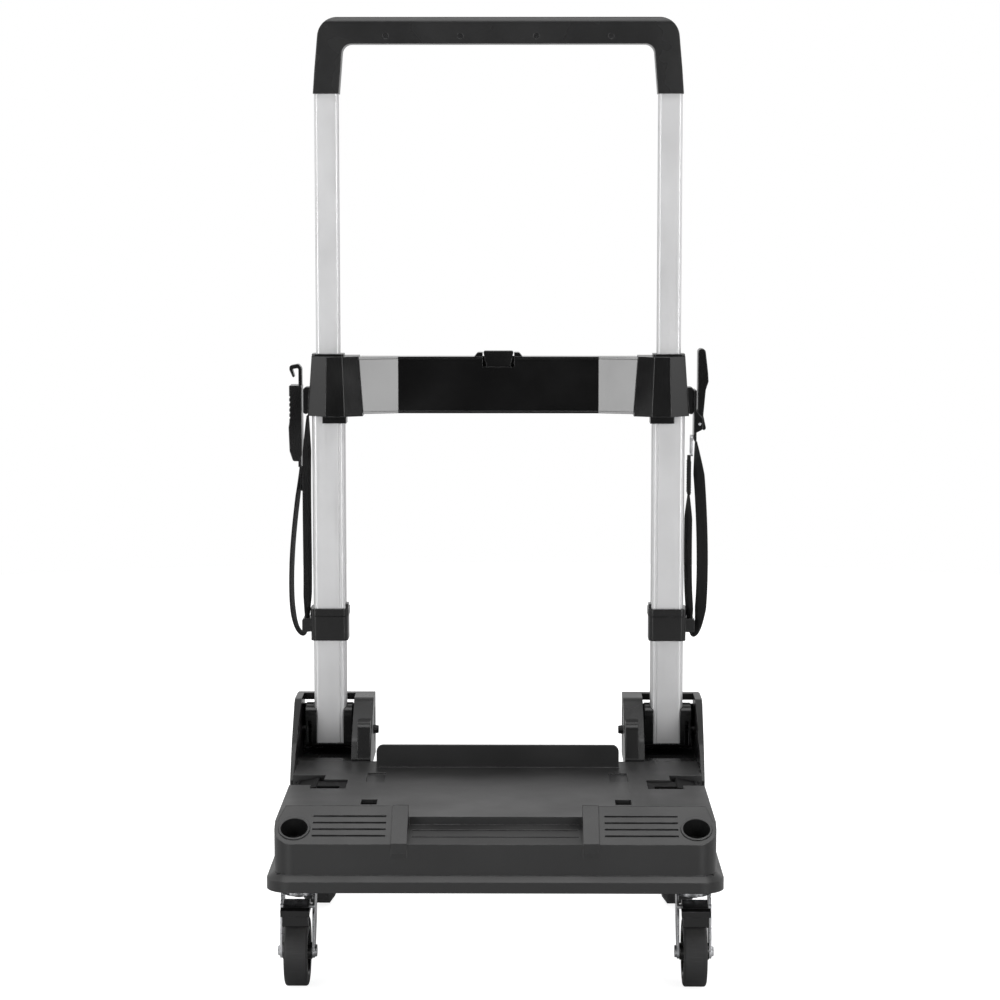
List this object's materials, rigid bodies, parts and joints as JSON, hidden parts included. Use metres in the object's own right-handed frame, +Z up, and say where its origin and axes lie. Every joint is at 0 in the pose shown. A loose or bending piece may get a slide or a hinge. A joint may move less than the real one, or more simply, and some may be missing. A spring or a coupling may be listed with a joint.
{
  "type": "folding platform cart",
  "caption": "Folding platform cart: moulded deck on braked casters and rear wheels, with folding telescopic posts, a cross brace, a U grip and lashing straps.",
  "frame": {"origin": "on the ground under the middle of the cart's box, straps left out", "axes": "+X to the cart's right seen from the front, -Y to the front, +Z up"},
  "size_m": [0.492, 0.5, 1.049],
  "materials": {
    "deck_plastic": "moulded, fine grained, dark grey",
    "black_plastic": "moulded, satin black",
    "gloss_black": "smooth, semi-gloss black",
    "grip_plastic": "moulded, satin dark grey",
    "anodised_aluminium": "satin anodised extrusion",
    "zinc_steel": "bright zinc plated",
    "black_steel": "blackened",
    "rubber_tyre": "smooth black rubber",
    "webbing": "woven black polyester webbing"
  },
  "bodies": {
    "deck": {"deck_shell": "deck_plastic", "socket_liners": "black_plastic", "latch_pins": "zinc_steel", "hinge_housing_right": "deck_plastic", "hinge_housing_left": "deck_plastic", "housing_screws": "zinc_steel", "hinge_pins": "black_steel", "rear_axle": "zinc_steel", "axle_caps": "black_plastic", "caster_plate_right": "zinc_steel", "caster_plate_left": "zinc_steel", "caster_screws": "zinc_steel"},
    "posts": {"post_shoe_right": "black_plastic", "post_shoe_left": "black_plastic", "outer_tube_right": "anodised_aluminium", "outer_tube_left": "anodised_aluminium", "tube_bushes": "black_plastic", "corner_bracket_right": "black_plastic", "corner_bracket_left": "black_plastic", "brace_panel": "gloss_black", "brace_cover": "black_plastic", "brace_screws": "black_steel", "button_spring": "zinc_steel", "strap_collar_right": "black_plastic", "strap_collar_left": "black_plastic", "hook_buckle_body": "black_plastic", "strap_hook": "black_plastic", "cam_buckle_base": "black_plastic", "cam_pin": "zinc_steel", "wire_ring": "zinc_steel", "strap_left_outer": "webbing", "strap_left_inner": "webbing", "strap_right_outer": "webbing", "strap_right_inner": "webbing", "strap_sewn_end": "webbing"},
    "handle": {"inner_tube_right": "anodised_aluminium", "inner_tube_left": "anodised_aluminium", "glide_blocks": "black_plastic", "handle_grip": "grip_plastic", "grip_screws": "black_steel"},
    "button": {"release_button": "black_plastic"},
    "lock_rod_right": {"lock_rod_right": "zinc_steel"},
    "lock_rod_left": {"lock_rod_left": "zinc_steel"},
    "latch_right": {"fold_latch_right": "black_plastic"},
    "latch_left": {"fold_latch_left": "black_plastic"},
    "cam_lever": {"cam_lever": "black_plastic"},
    "rear_wheel_right": {"rear_tyre_right": "rubber_tyre", "rear_hub_right": "black_plastic"},
    "caster_right": {"caster_fork_right": "zinc_steel", "caster_axle_right": "zinc_steel"},
    "caster_wheel_right": {"caster_tyre_right": "rubber_tyre", "caster_hub_right": "black_plastic"},
    "pedal_right": {"brake_pedal_right": "black_plastic"},
    "rear_wheel_left": {"rear_tyre_left": "rubber_tyre", "rear_hub_left": "black_plastic"},
    "caster_left": {"caster_fork_left": "zinc_steel", "caster_axle_left": "zinc_steel"},
    "caster_wheel_left": {"caster_tyre_left": "rubber_tyre", "caster_hub_left": "black_plastic"},
    "pedal_left": {"brake_pedal_left": "black_plastic"}
  },
  "joints": [
    {"name": "post_fold", "type": "hinge", "parent": "deck", "child": "posts", "pos_m": [0, 0.155, 0.213], "axis": [1, 0, 0], "range_deg": [0, 90]},
    {"name": "handle_slide", "type": "slide", "parent": "posts", "child": "handle", "axis": [0, 0, -1], "range_m": [0, 0.298]},
    {"name": "button_press", "type": "slide", "parent": "posts", "child": "button", "axis": [0, 0, -1], "range_m": [0, 0.006], "stiffness_N_per_m": 400, "springref_m": -0.004, "deforming": ["button_spring"]},
    {"name": "lock_rod_right_draw", "type": "slide", "parent": "posts", "child": "lock_rod_right", "axis": [-1, 0, 0], "range_m": [0, 0.006]},
    {"name": "lock_rod_left_draw", "type": "slide", "parent": "posts", "child": "lock_rod_left", "axis": [1, 0, 0], "range_m": [0, 0.006]},
    {"name": "cam_lever_open", "type": "hinge", "parent": "posts", "child": "cam_lever", "pos_m": [0.236, 0.161, 0.578], "axis": [0, 1, 0], "range_deg": [0, 50]},
    {"name": "latch_right_lift", "type": "hinge", "parent": "deck", "child": "latch_right", "pos_m": [0.207, -0.017, 0.182], "axis": [0, 1, 0], "range_deg": [0, 12], "stiffness_Nm_per_rad": 0.5, "springref_deg": -5.73},
    {"name": "rear_wheel_right_spin", "type": "hinge", "parent": "deck", "child": "rear_wheel_right", "pos_m": [0.215, 0.17, 0.08], "axis": [1, 0, 0], "continuous": true},
    {"name": "caster_right_swivel", "type": "hinge", "parent": "deck", "child": "caster_right", "pos_m": [0.213, -0.145, 0.1], "axis": [0, 0, 1], "continuous": true},
    {"name": "caster_wheel_right_spin", "type": "hinge", "parent": "caster_right", "child": "caster_wheel_right", "pos_m": [0.213, -0.17, 0.0375], "axis": [1, 0, 0], "continuous": true},
    {"name": "brake_right_press", "type": "hinge", "parent": "caster_right", "child": "pedal_right", "pos_m": [0.213, -0.167, 0.086], "axis": [1, 0, 0], "range_deg": [0, 7]},
    {"name": "latch_left_lift", "type": "hinge", "parent": "deck", "child": "latch_left", "pos_m": [-0.207, -0.017, 0.182], "axis": [0, -1, 0], "range_deg": [0, 12], "stiffness_Nm_per_rad": 0.5, "springref_deg": -5.73},
    {"name": "rear_wheel_left_spin", "type": "hinge", "parent": "deck", "child": "rear_wheel_left", "pos_m": [-0.215, 0.17, 0.08], "axis": [1, 0, 0], "continuous": true},
    {"name": "caster_left_swivel", "type": "hinge", "parent": "deck", "child": "caster_left", "pos_m": [-0.213, -0.145, 0.1], "axis": [0, 0, 1], "continuous": true},
    {"name": "caster_wheel_left_spin", "type": "hinge", "parent": "caster_left", "child": "caster_wheel_left", "pos_m": [-0.213, -0.17, 0.0375], "axis": [1, 0, 0], "continuous": true},
    {"name": "brake_left_press", "type": "hinge", "parent": "caster_left", "child": "pedal_left", "pos_m": [-0.213, -0.167, 0.086], "axis": [1, 0, 0], "range_deg": [0, 7]}
  ],
  "couplings": [
    {"joint": "lock_rod_right_draw", "follows": "button_press", "ratio": 1},
    {"joint": "lock_rod_left_draw", "follows": "button_press", "ratio": 1}
  ]
}
